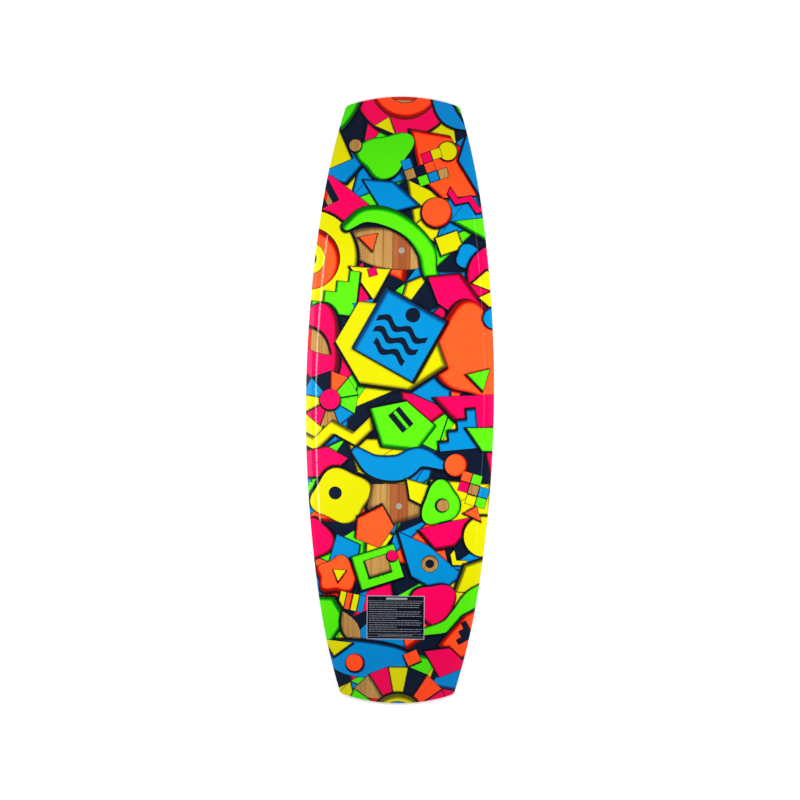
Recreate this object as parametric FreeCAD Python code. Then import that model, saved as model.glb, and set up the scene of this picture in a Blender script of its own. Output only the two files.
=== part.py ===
"""Wakeboard: a laminated twin-tip board, lying deck down on its two tips with its base up.

Frame: millimetres, +Z up out of the base, +Y along the board to the nose, +X across it.
The origin is on the floor under the middle of the board.

The board is one curved sandwich. From the base (top) down: clear base sheet, glass laminate,
a core of glued wood strips inside a moulded sidewall, glass laminate, deck sheet.
Every layer is cut from the same outline by the same family of curved faces, so that
neighbouring layers share their faces.
"""

import FreeCAD, Part
import os
from math import asin, atan2, cos, hypot, sin, sqrt

Vector = FreeCAD.Vector
AXIS_X = Vector(1, 0, 0)
AXIS_Y = Vector(0, 1, 0)

# ---- Driving dimensions, in millimetres ------------------------------------------------

LENGTH = 1390.0
WIDTH = 430.0
HALF_LENGTH = LENGTH / 2

# Outline: two tangent arcs down each side, a crown arc across each tip, rounded corners.
SIDE_MID_RADIUS = 3010.0
SIDE_END_RADIUS = 1580.0
SIDE_BREAK_Y = 440.0
TIP_CROWN_RADIUS = 395.0
CORNER_RADIUS = 14.0

# Profile along the middle.
ROCKER = 62.0
ROCKER_POWER = 2.5
MID_THICKNESS = 19.0
TIP_THICKNESS = 8.5
TAPER_POWER = 2.2

# Rails: the base rolls off towards its edge, and the deck is chamfered on the other side.
BASE_BEVEL_WIDTH = 24.0
BASE_BEVEL_MID = 4.5
BASE_BEVEL_TIP = 1.0
BASE_BEVEL_POWER = 1.6
DECK_BEVEL_WIDTH = 55.0
DECK_BEVEL_POWER = 1.5
RAIL_MID_THICKNESS = 9.0
RAIL_TIP_THICKNESS = 7.0

# Layers.
BASE_SHEET = 1.0
BASE_GLASS = 0.6
DECK_GLASS = 0.6
DECK_SHEET = 0.6
SIDEWALL_WIDTH = 8.0
SIDEWALL_JOINT_Y = 640.0

# Core: a hardwood stringer down the middle, lighter strips beside and beyond it.
STRIP_WIDTH = 20.7
STRIPS_PER_SIDE = 9
STRINGER_HALF_LENGTH = 425.0

# Plugs that fill the core's two machining holes, on the centreline.
PLUG_RADIUS = 7.0
PLUG_PLACES = {"nose_index_plug": 342.0, "tail_index_plug": -243.0}

# Threaded inserts for the bindings: four rows of six.
STANCE = 584.0
ROW_SPACING = 152.4
INSERT_PITCH = 25.4
INSERTS_PER_ROW = 6
INSERT_HEIGHT = 12.0
INSERT_BARREL_RADIUS = 5.0
INSERT_FLANGE_RADIUS = 9.0
INSERT_FLANGE_THICKNESS = 1.5
INSERT_BORE_RADIUS = 2.5
INSERT_BORE_DEPTH = 10.0

# Care label, a thin film on the base near the tail.
LABEL_WIDTH = 132.0
LABEL_HEIGHT = 100.0
LABEL_CORNER_RADIUS = 2.0
LABEL_CENTRE_X = -5.0
LABEL_CENTRE_Y = -498.0
LABEL_THICKNESS = 0.15

# Working sizes: how far the interface faces run past the board, and their grid.
SURFACE_MARGIN = 10.0
ROW_STEP = 30.0
EDGE_COLUMNS = (-10, -4, 2, 7, 12, 16, 19, 22, 25, 29, 35, 44, 55, 68)
INNER_COLUMNS = 5
PRISM_BOTTOM = -30.0
PRISM_TOP = 130.0
INSERT_RUN_OUT = 2.0
SMALLEST_VOLUME = 1.0

OUT = "parts"


# ---- Shape functions ------------------------------------------------------------------

BREAK_ANGLE = asin(SIDE_BREAK_Y / SIDE_MID_RADIUS)
MID_CENTRE_X = WIDTH / 2 - SIDE_MID_RADIUS
END_CENTRE_X = MID_CENTRE_X + (SIDE_MID_RADIUS - SIDE_END_RADIUS) * cos(BREAK_ANGLE)
END_CENTRE_Y = (SIDE_MID_RADIUS - SIDE_END_RADIUS) * sin(BREAK_ANGLE)
TIP_CENTRE_Y = HALF_LENGTH - TIP_CROWN_RADIUS


def half_width(y):
    """Half the board's width at y, before the tips' crown and corners."""
    y = abs(y)
    if y <= SIDE_BREAK_Y:
        return MID_CENTRE_X + sqrt(SIDE_MID_RADIUS**2 - y**2)
    return END_CENTRE_X + sqrt(SIDE_END_RADIUS**2 - (y - END_CENTRE_Y) ** 2)


def fullness(y):
    """1 at the middle and 0 at the tips: what the thickness and the bevels taper with."""
    return 1 - (abs(y) / HALF_LENGTH) ** TAPER_POWER


def thickness(y):
    return TIP_THICKNESS + (MID_THICKNESS - TIP_THICKNESS) * fullness(y)


def base_bevel(y):
    return BASE_BEVEL_TIP + (BASE_BEVEL_MID - BASE_BEVEL_TIP) * fullness(y)


def deck_bevel(y):
    rail = RAIL_TIP_THICKNESS + (RAIL_MID_THICKNESS - RAIL_TIP_THICKNESS) * fullness(y)
    return thickness(y) - base_bevel(y) - rail


def roll(from_edge, width, power):
    """0 inside the bevel's width and 1 at the board's edge; it goes on rising past the edge."""
    return max(0.0, 1 - from_edge / width) ** power


def middle_height(y):
    """Height of the base on the centreline."""
    return ROCKER + TIP_THICKNESS - ROCKER * (abs(y) / HALF_LENGTH) ** ROCKER_POWER


def base_height(x, y):
    from_edge = half_width(y) - abs(x)
    return middle_height(y) - base_bevel(y) * roll(from_edge, BASE_BEVEL_WIDTH, BASE_BEVEL_POWER)


def deck_height(x, y):
    from_edge = half_width(y) - abs(x)
    rise = deck_bevel(y) * roll(from_edge, DECK_BEVEL_WIDTH, DECK_BEVEL_POWER)
    return middle_height(y) - thickness(y) + rise


# ---- Outline and interface faces ------------------------------------------------------


def circle_crossing(x1, y1, r1, x2, y2, r2):
    """The crossing of two circles that lies further along the board."""
    d = hypot(x2 - x1, y2 - y1)
    along = (d**2 + r1**2 - r2**2) / (2 * d)
    off = sqrt(r1**2 - along**2)
    ux, uy = (x2 - x1) / d, (y2 - y1) / d
    ends = [(x1 + along * ux + s * off * uy, y1 + along * uy - s * off * ux) for s in (1, -1)]
    return max(ends, key=lambda point: point[1])


def arc(centre, radius, start, end):
    """An arc about centre from the point start to the point end, the short way round."""
    a0 = atan2(start[1] - centre[1], start[0] - centre[0])
    a1 = atan2(end[1] - centre[1], end[0] - centre[0])
    middle = (a0 + a1) / 2
    points = [start, (centre[0] + radius * cos(middle), centre[1] + radius * sin(middle)), end]
    return Part.Arc(*[Vector(p[0], p[1], 0) for p in points]).toShape()


def outline_face(inset):
    """The board's outline, drawn in by inset, with sharp corners."""
    mid_r, end_r = SIDE_MID_RADIUS - inset, SIDE_END_RADIUS - inset
    tip_r = TIP_CROWN_RADIUS - inset
    break_point = (MID_CENTRE_X + mid_r * cos(BREAK_ANGLE), mid_r * sin(BREAK_ANGLE))
    corner = circle_crossing(END_CENTRE_X, END_CENTRE_Y, end_r, 0, TIP_CENTRE_Y, tip_r)
    side = arc((MID_CENTRE_X, 0), mid_r, (break_point[0], -break_point[1]), break_point)
    end = arc((END_CENTRE_X, END_CENTRE_Y), end_r, break_point, corner)
    half_tip = Part.Arc(
        Vector(corner[0], corner[1], 0),
        Vector(0, TIP_CENTRE_Y + tip_r, 0),
        Vector(-corner[0], corner[1], 0),
    ).toShape()
    origin = Vector(0, 0, 0)
    edges = [side, side.mirror(origin, AXIS_X), half_tip, half_tip.mirror(origin, AXIS_Y)]
    for e in (end, end.mirror(origin, AXIS_X)):
        edges += [e, e.mirror(origin, AXIS_Y)]
    return Part.Face(Part.Wire(Part.__sortEdges__(edges)))


def outline_prism(inset):
    """The outline as a tall upright block with rounded corners."""
    face = outline_face(inset)
    face.translate(Vector(0, 0, PRISM_BOTTOM))
    block = face.extrude(Vector(0, 0, PRISM_TOP - PRISM_BOTTOM))
    corners = [e for e in block.Edges if is_corner(e)]
    return block.makeFillet(CORNER_RADIUS - inset, corners)


def is_upright(edge):
    """True for a straight edge that runs up the whole height of a prism."""
    return edge.BoundBox.ZLength > 0.99 * (PRISM_TOP - PRISM_BOTTOM)


def is_corner(edge):
    """True for the upright edges where a side meets a tip."""
    return is_upright(edge) and abs(edge.CenterOfMass.y) > (SIDE_BREAK_Y + HALF_LENGTH) / 2


def columns(y):
    """Places across the board for the interface grid: close together near the edges."""
    edge = [half_width(y) - d for d in EDGE_COLUMNS]
    inner = [edge[-1] * i / (INNER_COLUMNS + 1) for i in range(INNER_COLUMNS, 0, -1)]
    right = edge + inner
    return [-x for x in right] + [0.0] + right[::-1]


def space_above(height):
    """A block of everything above the curved face z = height(x, y)."""
    reach = HALF_LENGTH + SURFACE_MARGIN
    count = int(2 * reach / ROW_STEP)
    rows = [-reach + 2 * reach * i / count for i in range(count + 1)]
    grid = [[Vector(x, y, height(x, y)) for x in columns(y)] for y in rows]
    surface = Part.BSplineSurface()
    surface.interpolate(grid)
    return surface.toShape().extrude(Vector(0, 0, PRISM_TOP))


def between(block, lower, upper):
    return block.common(lower).cut(upper)


# ---- Sub-parts ------------------------------------------------------------------------


def insert_places(sign_x, sign_y):
    x = sign_x * ROW_SPACING / 2
    first_y = sign_y * STANCE / 2 - (INSERTS_PER_ROW - 1) / 2 * INSERT_PITCH
    return [(x, first_y + i * INSERT_PITCH) for i in range(INSERTS_PER_ROW)]


def insert_body(x, y, bored):
    """One flanged insert: its barrel opens at the deck and its flange sits in the core.

    The barrel starts a little under the deck, to be trimmed to the deck's own curve.
    """
    deck = deck_height(x, y)
    foot = Vector(x, y, deck - INSERT_RUN_OUT)
    barrel = Part.makeCylinder(INSERT_BARREL_RADIUS, INSERT_HEIGHT + INSERT_RUN_OUT, foot)
    flange_z = deck + INSERT_HEIGHT - INSERT_FLANGE_THICKNESS
    flange = Part.makeCylinder(INSERT_FLANGE_RADIUS, INSERT_FLANGE_THICKNESS, Vector(x, y, flange_z))
    body = barrel.fuse(flange)
    if bored:
        bore = Part.makeCylinder(INSERT_BORE_RADIUS, INSERT_BORE_DEPTH + INSERT_RUN_OUT, foot)
        body = body.cut(bore)
    return body.removeSplitter()


def slab(x0, x1, y0, y1):
    """An upright box over that stretch of the board."""
    return Part.makeBox(x1 - x0, y1 - y0, PRISM_TOP - PRISM_BOTTOM, Vector(x0, y0, PRISM_BOTTOM))


def label_prism():
    half_x, half_y = LABEL_WIDTH / 2, LABEL_HEIGHT / 2
    block = slab(
        LABEL_CENTRE_X - half_x,
        LABEL_CENTRE_X + half_x,
        LABEL_CENTRE_Y - half_y,
        LABEL_CENTRE_Y + half_y,
    )
    return block.makeFillet(LABEL_CORNER_RADIUS, [e for e in block.Edges if is_upright(e)])


def cut_all(shape, tools):
    near = [t for t in tools if shape.BoundBox.intersect(t.BoundBox)]
    return shape.cut(near) if near else shape


def sheets(board, faces):
    """The four full-size sheets, from the base down."""
    return {
        "base_sheet": between(board, faces["base_sheet_under"], faces["base"]),
        "base_laminate": between(board, faces["base_glass_under"], faces["base_sheet_under"]),
        "deck_laminate": between(board, faces["deck_sheet_top"], faces["deck_glass_top"]),
        "deck_sheet": between(board, faces["deck"], faces["deck_sheet_top"]),
    }


def sidewalls(board, inner, faces):
    ring = between(board.cut(inner), faces["deck_glass_top"], faces["base_glass_under"])
    far_x, far_y, joint = WIDTH, LENGTH, SIDEWALL_JOINT_Y
    return {
        "sidewall_left": ring.common(slab(-far_x, 0, -joint, joint)),
        "sidewall_right": ring.common(slab(0, far_x, -joint, joint)),
        "sidewall_nose": ring.common(slab(-far_x, far_x, joint, far_y)),
        "sidewall_tail": ring.common(slab(-far_x, far_x, -far_y, -joint)),
    }


def core_strips(inner, faces):
    core = between(inner, faces["deck_glass_top"], faces["base_glass_under"])
    middle, end, far = STRIP_WIDTH, STRINGER_HALF_LENGTH, LENGTH
    found = {
        "core_center_stringer": core.common(slab(-middle, middle, -end, end)),
        "core_center_strip_nose": core.common(slab(-middle, middle, end, far)),
        "core_center_strip_tail": core.common(slab(-middle, middle, -far, -end)),
    }
    for i in range(1, STRIPS_PER_SIDE + 1):
        near_x = middle + (i - 1) * STRIP_WIDTH
        far_x = WIDTH if i == STRIPS_PER_SIDE else near_x + STRIP_WIDTH
        found[f"core_strip_right_{i}"] = core.common(slab(near_x, far_x, -far, far))
        found[f"core_strip_left_{i}"] = core.common(slab(-far_x, -near_x, -far, far))
    return found, core


def export(name, shape):
    solids = [s.removeSplitter() for s in shape.Solids]
    assert solids and all(s.isValid() and s.Volume > SMALLEST_VOLUME for s in solids), name
    whole = solids[0] if len(solids) == 1 else Part.makeCompound(solids)
    whole.exportStep(os.path.join(OUT, name + ".step"))
    print(f"{name:26s} {len(solids)} solids {sum(s.Volume for s in solids) / 1000:9.2f} cm3")


def main():
    os.makedirs(OUT, exist_ok=True)
    board, inner = outline_prism(0.0), outline_prism(SIDEWALL_WIDTH)
    offsets = {
        "label_top": (base_height, LABEL_THICKNESS),
        "base": (base_height, 0.0),
        "base_sheet_under": (base_height, -BASE_SHEET),
        "base_glass_under": (base_height, -BASE_SHEET - BASE_GLASS),
        "deck_glass_top": (deck_height, DECK_SHEET + DECK_GLASS),
        "deck_sheet_top": (deck_height, DECK_SHEET),
        "deck": (deck_height, 0.0),
    }
    faces = {
        name: space_above(lambda x, y, f=f, up=up: f(x, y) + up)
        for name, (f, up) in offsets.items()
    }

    made = sheets(board, faces)
    made.update(sidewalls(board, inner, faces))
    strips, core = core_strips(inner, faces)
    made.update(strips)

    whole_board = between(board, faces["deck"], faces["base"])
    pockets = []
    for end, sign_y in (("front", 1), ("rear", -1)):
        for side, sign_x in (("left", -1), ("right", 1)):
            places = insert_places(sign_x, sign_y)
            bodies = [insert_body(x, y, True).common(whole_board) for x, y in places]
            pockets += [insert_body(x, y, False) for x, y in places]
            made[f"{end}_{side}_inserts"] = Part.makeCompound(bodies)
    for name, y in PLUG_PLACES.items():
        foot = Vector(0, y, PRISM_BOTTOM)
        hole = Part.makeCylinder(PLUG_RADIUS, PRISM_TOP - PRISM_BOTTOM, foot)
        made[name] = core.common(hole)
        made["core_center_stringer"] = made["core_center_stringer"].cut(hole)
    for name in [n for n in made if n.startswith(("core_", "deck_"))]:
        made[name] = cut_all(made[name], pockets)

    made["care_label"] = between(label_prism(), faces["base"], faces["label_top"])
    for name, shape in made.items():
        export(name, shape)


main()
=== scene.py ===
"""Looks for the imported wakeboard: printed base, wood windows, label, rails, deck and studio.

The board lies deck down on a pale floor and is seen from straight above. Lengths in the
art and shape functions are millimetres; Blender's objects are in metres.

The printed base is one flat arrangement of shapes, painted one over another, cut into
triangles along every outline and lifted onto the board's curved base. Each ink is a
separate closed piece, and together they stand for the base sheet.
"""

import math

import bpy
import numpy as np
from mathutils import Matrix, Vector
from mathutils.geometry import delaunay_2d_cdt


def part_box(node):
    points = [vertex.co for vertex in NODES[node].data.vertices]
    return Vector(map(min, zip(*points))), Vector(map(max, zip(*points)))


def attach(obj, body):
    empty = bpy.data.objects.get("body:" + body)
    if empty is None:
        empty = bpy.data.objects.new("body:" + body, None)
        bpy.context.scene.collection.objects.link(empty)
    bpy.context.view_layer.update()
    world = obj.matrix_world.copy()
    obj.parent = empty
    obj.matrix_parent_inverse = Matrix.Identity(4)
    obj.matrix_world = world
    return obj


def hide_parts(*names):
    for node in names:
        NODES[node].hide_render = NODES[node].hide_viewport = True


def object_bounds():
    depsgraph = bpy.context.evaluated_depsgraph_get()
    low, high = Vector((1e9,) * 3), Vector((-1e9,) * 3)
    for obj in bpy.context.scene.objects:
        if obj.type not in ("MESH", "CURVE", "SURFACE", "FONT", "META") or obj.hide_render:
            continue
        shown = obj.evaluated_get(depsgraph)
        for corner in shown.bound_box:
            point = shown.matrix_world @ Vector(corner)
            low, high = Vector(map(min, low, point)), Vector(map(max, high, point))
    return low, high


MM = 0.001

# ---- The frame ----

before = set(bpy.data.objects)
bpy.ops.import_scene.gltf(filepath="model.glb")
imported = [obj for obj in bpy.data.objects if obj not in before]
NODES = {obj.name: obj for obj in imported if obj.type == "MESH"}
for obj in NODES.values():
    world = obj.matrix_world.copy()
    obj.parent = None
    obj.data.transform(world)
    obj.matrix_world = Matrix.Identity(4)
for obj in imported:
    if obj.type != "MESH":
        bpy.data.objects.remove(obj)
CAD_BOX = [list(map(float, corner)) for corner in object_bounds()]


def box_mm(node):
    low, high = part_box(node)
    return [v / MM for v in low], [v / MM for v in high]


# ---- The board's shape, as in the CAD model, in millimetres ----

LENGTH, WIDTH = 1390.0, 430.0
HALF_LENGTH = LENGTH / 2
SIDE_MID_RADIUS, SIDE_END_RADIUS, SIDE_BREAK_Y = 3010.0, 1580.0, 440.0
TIP_CROWN_RADIUS, CORNER_RADIUS = 395.0, 14.0
ROCKER, ROCKER_POWER = 62.0, 2.5
TIP_THICKNESS, TAPER_POWER = 8.5, 2.2
BEVEL_WIDTH, BEVEL_MID, BEVEL_TIP, BEVEL_POWER = 24.0, 4.5, 1.0, 1.6
SHEET = 1.0
SIDEWALL = 8.0

BREAK_ANGLE = math.asin(SIDE_BREAK_Y / SIDE_MID_RADIUS)
MID_CENTRE_X = WIDTH / 2 - SIDE_MID_RADIUS
END_CENTRE_X = MID_CENTRE_X + (SIDE_MID_RADIUS - SIDE_END_RADIUS) * math.cos(BREAK_ANGLE)
END_CENTRE_Y = (SIDE_MID_RADIUS - SIDE_END_RADIUS) * math.sin(BREAK_ANGLE)
TIP_CENTRE_Y = HALF_LENGTH - TIP_CROWN_RADIUS

STRIP = box_mm("core_strip_right_1")[1][0] - box_mm("core_strip_right_1")[0][0]
STRINGER_END = box_mm("core_center_stringer")[1][1]
STRINGER_HALF_WIDTH = box_mm("core_center_stringer")[1][0]


def half_width(y):
    """Half the board's width at a place along it."""
    y = np.abs(y)
    mid = MID_CENTRE_X + np.sqrt(SIDE_MID_RADIUS**2 - y**2)
    end = END_CENTRE_X + np.sqrt(SIDE_END_RADIUS**2 - (y - END_CENTRE_Y) ** 2)
    return np.where(y <= SIDE_BREAK_Y, mid, end)


def base_height(x, y):
    """The height of the board's base: the rocker, less the roll at the rails."""
    along = np.abs(y) / HALF_LENGTH
    bevel = BEVEL_TIP + (BEVEL_MID - BEVEL_TIP) * (1 - along**TAPER_POWER)
    inward = (half_width(y) - np.abs(x)) / BEVEL_WIDTH
    roll = np.maximum(0.0, 1 - inward) ** BEVEL_POWER
    return ROCKER + TIP_THICKNESS - ROCKER * along**ROCKER_POWER - bevel * roll


def base_normals(x, y):
    step = 0.2
    dx = (base_height(x + step, y) - base_height(x - step, y)) / (2 * step)
    dy = (base_height(x, y + step) - base_height(x, y - step)) / (2 * step)
    normals = np.stack([-dx, -dy, np.ones_like(dx)], axis=1)
    return normals / np.linalg.norm(normals, axis=1, keepdims=True)


def arc_points(cx, cy, radius, a0, a1, step):
    """Points along an arc from angle a0 to a1, about step apart."""
    count = max(2, int(abs(a1 - a0) * radius / step))
    angles = np.linspace(a0, a1, count + 1)
    return [(cx + radius * math.cos(a), cy + radius * math.sin(a)) for a in angles]


def circle_meet(x1, y1, r1, x2, y2, r2):
    """Where two circles cross, on the side further along the board."""
    d = math.hypot(x2 - x1, y2 - y1)
    along = (d**2 + r1**2 - r2**2) / (2 * d)
    off = math.sqrt(r1**2 - along**2)
    ux, uy = (x2 - x1) / d, (y2 - y1) / d
    ends = [(x1 + along * ux + s * off * uy, y1 + along * uy - s * off * ux) for s in (1, -1)]
    return max(ends, key=lambda p: p[1])


def quarter_outline(inset, step):
    """The outline's +X, +Y quarter, from the side's middle to the tip's middle."""
    end_r, tip_r = SIDE_END_RADIUS - inset, TIP_CROWN_RADIUS - inset
    corner_r = CORNER_RADIUS - inset
    cx, cy = circle_meet(
        END_CENTRE_X, END_CENTRE_Y, end_r - corner_r, 0, TIP_CENTRE_Y, tip_r - corner_r
    )
    side_angle = math.atan2(cy - END_CENTRE_Y, cx - END_CENTRE_X)
    tip_angle = math.atan2(cy - TIP_CENTRE_Y, cx)
    points = arc_points(MID_CENTRE_X, 0, SIDE_MID_RADIUS - inset, 0, BREAK_ANGLE, step)
    points += arc_points(END_CENTRE_X, END_CENTRE_Y, end_r, BREAK_ANGLE, side_angle, step)[1:]
    points += arc_points(cx, cy, corner_r, side_angle, tip_angle, step / 3)[1:]
    points += arc_points(0, TIP_CENTRE_Y, tip_r, tip_angle, math.pi / 2, step)[1:]
    return points


def outline(inset=0.0, step=4.0):
    """The whole outline, counter-clockwise, drawn in by inset."""
    q = quarter_outline(inset, step)
    left = [(-x, y) for x, y in q[-2::-1]]
    upper = q + left
    lower = [(x, -y) for x, y in upper[-2:0:-1]]
    return np.array(upper + lower)


# ---- Flat shapes ----

CHUNK = 4000
TINY = 1e-9


def smooth_path(points, step=3.0):
    """A closed curve through points; a point with a third value is a sharp corner."""
    p = np.array([q[:2] for q in points], float)
    sharp = [len(q) > 2 for q in points]
    n = len(p)
    ahead = np.roll(p, -1, axis=0) - p
    length = np.maximum(np.linalg.norm(ahead, axis=1, keepdims=True), 1e-6)
    unit = ahead / length
    before, before_length = np.roll(unit, 1, axis=0), np.roll(length, 1, axis=0)
    tangent = (before * length + unit * before_length) / (length + before_length)
    out = []
    for i in range(n):
        j = (i + 1) % n
        size = length[i, 0]
        t0 = unit[i] if sharp[i] else tangent[i]
        t1 = unit[i] if sharp[j] else tangent[j]
        count = max(1, int(round(size / step)))
        for t in np.arange(count) / count:
            h = (2 * t**3 - 3 * t**2 + 1, t**3 - 2 * t**2 + t, -2 * t**3 + 3 * t**2, t**3 - t**2)
            out.append(h[0] * p[i] + h[1] * size * t0 + h[2] * p[j] + h[3] * size * t1)
    return counter_clockwise(np.array(out))


def area_of(p):
    """The polygon's area, negative if it runs clockwise."""
    x, y = p[:, 0], p[:, 1]
    return np.sum(x * np.roll(y, -1) - np.roll(x, -1) * y) / 2


def counter_clockwise(p):
    return p if area_of(p) > 0 else p[::-1].copy()


def drawn_in(p, by):
    """The polygon moved inwards by a distance, corners kept sharp."""
    least_spread = 0.15
    ahead = np.roll(p, -1, axis=0) - p
    ahead /= np.maximum(np.linalg.norm(ahead, axis=1, keepdims=True), TINY)
    normal = np.stack([-ahead[:, 1], ahead[:, 0]], axis=1)
    before = np.roll(normal, 1, axis=0)
    spread = 1 + np.sum(normal * before, axis=1, keepdims=True)
    return p + by * (normal + before) / np.maximum(spread, least_spread)


def inside(poly, pts):
    """Which of pts lie inside the polygon, by the even-odd rule."""
    x, y = pts[:, 0][:, None], pts[:, 1][:, None]
    x0, y0 = poly[:, 0][None, :], poly[:, 1][None, :]
    x1, y1 = np.roll(poly[:, 0], -1)[None, :], np.roll(poly[:, 1], -1)[None, :]
    crosses = (y0 > y) != (y1 > y)
    rise = np.where(np.abs(y1 - y0) < 1e-12, 1e-12, y1 - y0)
    return np.sum(crosses & (x < (x1 - x0) * (y - y0) / rise + x0), axis=1) % 2 == 1


def distance(poly, pts):
    """How far each of pts is from the polygon's edge."""
    a, b = poly[None, :, :], np.roll(poly, -1, axis=0)[None, :, :]
    ab, ap = b - a, pts[:, None, :] - a
    t = np.sum(ap * ab, axis=2) / np.maximum(np.sum(ab * ab, axis=2), TINY)
    gap = ap - np.clip(t, 0, 1)[:, :, None] * ab
    return np.sqrt(np.min(np.sum(gap * gap, axis=2), axis=1))


def near(poly, pts, margin):
    """Which of pts lie in the polygon's bounding box, widened by a margin."""
    low, high = poly.min(0) - margin, poly.max(0) + margin
    return np.all((pts >= low) & (pts <= high), axis=1)


# ---- The art ----

ART = []
LINE = 1.3
GOLDEN_ANGLE = 137.5
RIM_SHARES, RIM_LEAST, RIM_MOST = (0.07, 0.16, 0.11), 3, 17


def towards(direction, reach):
    angle = math.radians(direction)
    return np.array([reach * math.cos(angle), reach * math.sin(angle)])


def shape(ink, points, under=None, line=LINE):
    """Adds a shape over the earlier ones.

    under is the soft shadow it throws: the side that it lies on, in degrees, and how far
    it reaches. A large outlined shape also has a soft dark edge inside it, given in the
    same way. Its side follows the shape's number, and its reach the shape's size.
    """
    number, poly = len(ART), smooth_path(points)
    reach = min(RIM_MOST, RIM_SHARES[number % len(RIM_SHARES)] * math.sqrt(area_of(poly)))
    rim = (GOLDEN_ANGLE * number, reach) if line and reach > RIM_LEAST else None
    ART.append({"ink": ink, "poly": poly, "under": under, "rim": rim, "line": line})


def placed(x, y, turn, points):
    """Points given about (0, 0), turned by some degrees and moved to (x, y)."""
    c, s = math.cos(math.radians(turn)), math.sin(math.radians(turn))
    return [(x + c * u - s * v, y + s * u + c * v) for u, v in points]


def polygon(ink, *corners, under=None):
    """A shape with straight sides."""
    shape(ink, [(*p, 1) for p in corners], under)


def block(ink, x, y, wide, tall, turn, under=None):
    """A rectangle about (x, y)."""
    w, t = wide / 2, tall / 2
    polygon(ink, *placed(x, y, turn, [(-w, -t), (w, -t), (w, t), (-w, t)]), under=under)


def tiles(x, y, side, turn, rows):
    """Rows of square tiles, each a letter that starts an ink's name; a dot leaves a gap."""
    inks = {ink[0].upper(): ink for ink in ("pink", "green", "orange", "yellow", "blue", "navy", "wood")}
    for j, row in enumerate(rows):
        for i, letter in enumerate(row):
            if letter in inks:
                (at,) = placed(x, y, turn, [(i * side, -j * side)])
                block(inks[letter], *at, side, side, turn)


def disc(ink, x, y, radius, under=None, line=LINE):
    shape(ink, ring(x, y, 0, lambda a: (radius, radius)), under, line)


def ring(x, y, turn, radii, count=12):
    """Points round (x, y); radii gives the reach each way at an angle."""
    angles = np.linspace(0, 2 * math.pi, count, endpoint=False)
    return placed(x, y, turn, [(radii(a)[0] * math.cos(a), radii(a)[1] * math.sin(a)) for a in angles])


def blob(ink, x, y, wide, tall, turn, waves, under=None):
    """An ellipse whose edge swells and sinks; waves are (how many, depth, phase in degrees)."""

    def radii(a):
        swell = 1 + sum(depth * math.cos(n * a - math.radians(phase)) for n, depth, phase in waves)
        return wide / 2 * swell, tall / 2 * swell

    shape(ink, ring(x, y, turn, radii, 30), under)


QUARTERS = [math.pi * k / 4 for k in (1, 2, 3)]


def ribbon(ink, stations, under=None):
    """A band with round ends; stations are (x, y, half its width) along its middle."""
    s = np.array(stations, float)
    s = np.vstack([2 * s[0] - s[1], s, 2 * s[-1] - s[-2]])
    middle = []
    for i in range(1, len(s) - 2):
        for t in np.arange(0, 1, 0.125):
            bend = 2 * s[i - 1] - 5 * s[i] + 4 * s[i + 1] - s[i + 2]
            twist = 3 * s[i] - s[i - 1] - 3 * s[i + 1] + s[i + 2]
            middle.append(s[i] + 0.5 * ((s[i + 1] - s[i - 1]) * t + bend * t**2 + twist * t**3))
    middle = np.array(middle + [s[-2]])
    along = np.gradient(middle[:, :2], axis=0)
    along /= np.linalg.norm(along, axis=1, keepdims=True)
    side = np.stack([-along[:, 1], along[:, 0]], axis=1)
    half = middle[:, 2:]
    left, right = middle[:, :2] + half * side, middle[:, :2] - half * side
    last, first = ([side[k] * math.cos(a) + along[k] * math.sin(a) for a in QUARTERS] for k in (-1, 0))
    far_end = [middle[-1, :2] + half[-1] * way for way in last]
    near_end = [middle[0, :2] - half[0] * way for way in first]
    shape(ink, [*left, *far_end, *right[::-1], *near_end], under)


def leaf(ink, x0, y0, x1, y1, left, right, under=None):
    """Two curved sides from one point to another, bulging left and right by given widths."""
    size = math.hypot(x1 - x0, y1 - y0)
    ux, uy = (x1 - x0) / size, (y1 - y0) / size
    steps = np.arange(1, 6) / 6
    out = [(t * size, left * math.sin(math.pi * t)) for t in steps]
    back = [(t * size, -right * math.sin(math.pi * t)) for t in steps[::-1]]
    turn = math.degrees(math.atan2(uy, ux))
    a = placed(x0, y0, turn, out)
    b = placed(x0, y0, turn, back)
    shape(ink, [(x0, y0, 1), *a, (x1, y1, 1), *b], under)


def fan(x, y, inks, start, turn, near_r, far_r):
    """Wedges of different inks round a point."""
    for i, ink in enumerate(inks):
        a, b = (start + turn * k for k in (i, i + 1))
        corners = [towards(a, near_r), towards(a, far_r), towards(b, far_r), towards(b, near_r)]
        polygon(ink, *placed(x, y, 0, corners))


PATCH, PATCH_SWAY = 96, 27
PATCH_INKS = "blue navy pink green navy orange blue navy yellow blue navy green yellow".split()
SECOND_INK = 4


def patch_corner(i, j):
    """A corner of the patchwork, moved a little off its even place."""
    x = PATCH * i + PATCH_SWAY * math.sin(2.4 * i + 5.1 * j)
    return x, PATCH * j + PATCH_SWAY * math.cos(3.7 * i + 1.3 * j)


def patchwork():
    """Straight-sided patches that fill the board under the larger shapes."""
    for j in range(-8, 8):
        for i in range(-3, 3):
            number = i + 2 * j
            a, b = patch_corner(i, j), patch_corner(i + 1, j)
            c, d = patch_corner(i + 1, j + 1), patch_corner(i, j + 1)
            polygon(PATCH_INKS[number % len(PATCH_INKS)], a, b, c, d)
            polygon(PATCH_INKS[(number + SECOND_INK) % len(PATCH_INKS)], a, c, d)


def rings(x, y, inks, radii, under=None):
    """Discs of different inks on one centre, the largest first."""
    for ink, radius in zip(inks, radii):
        disc(ink, x, y, radius, under)
        under = None


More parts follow.
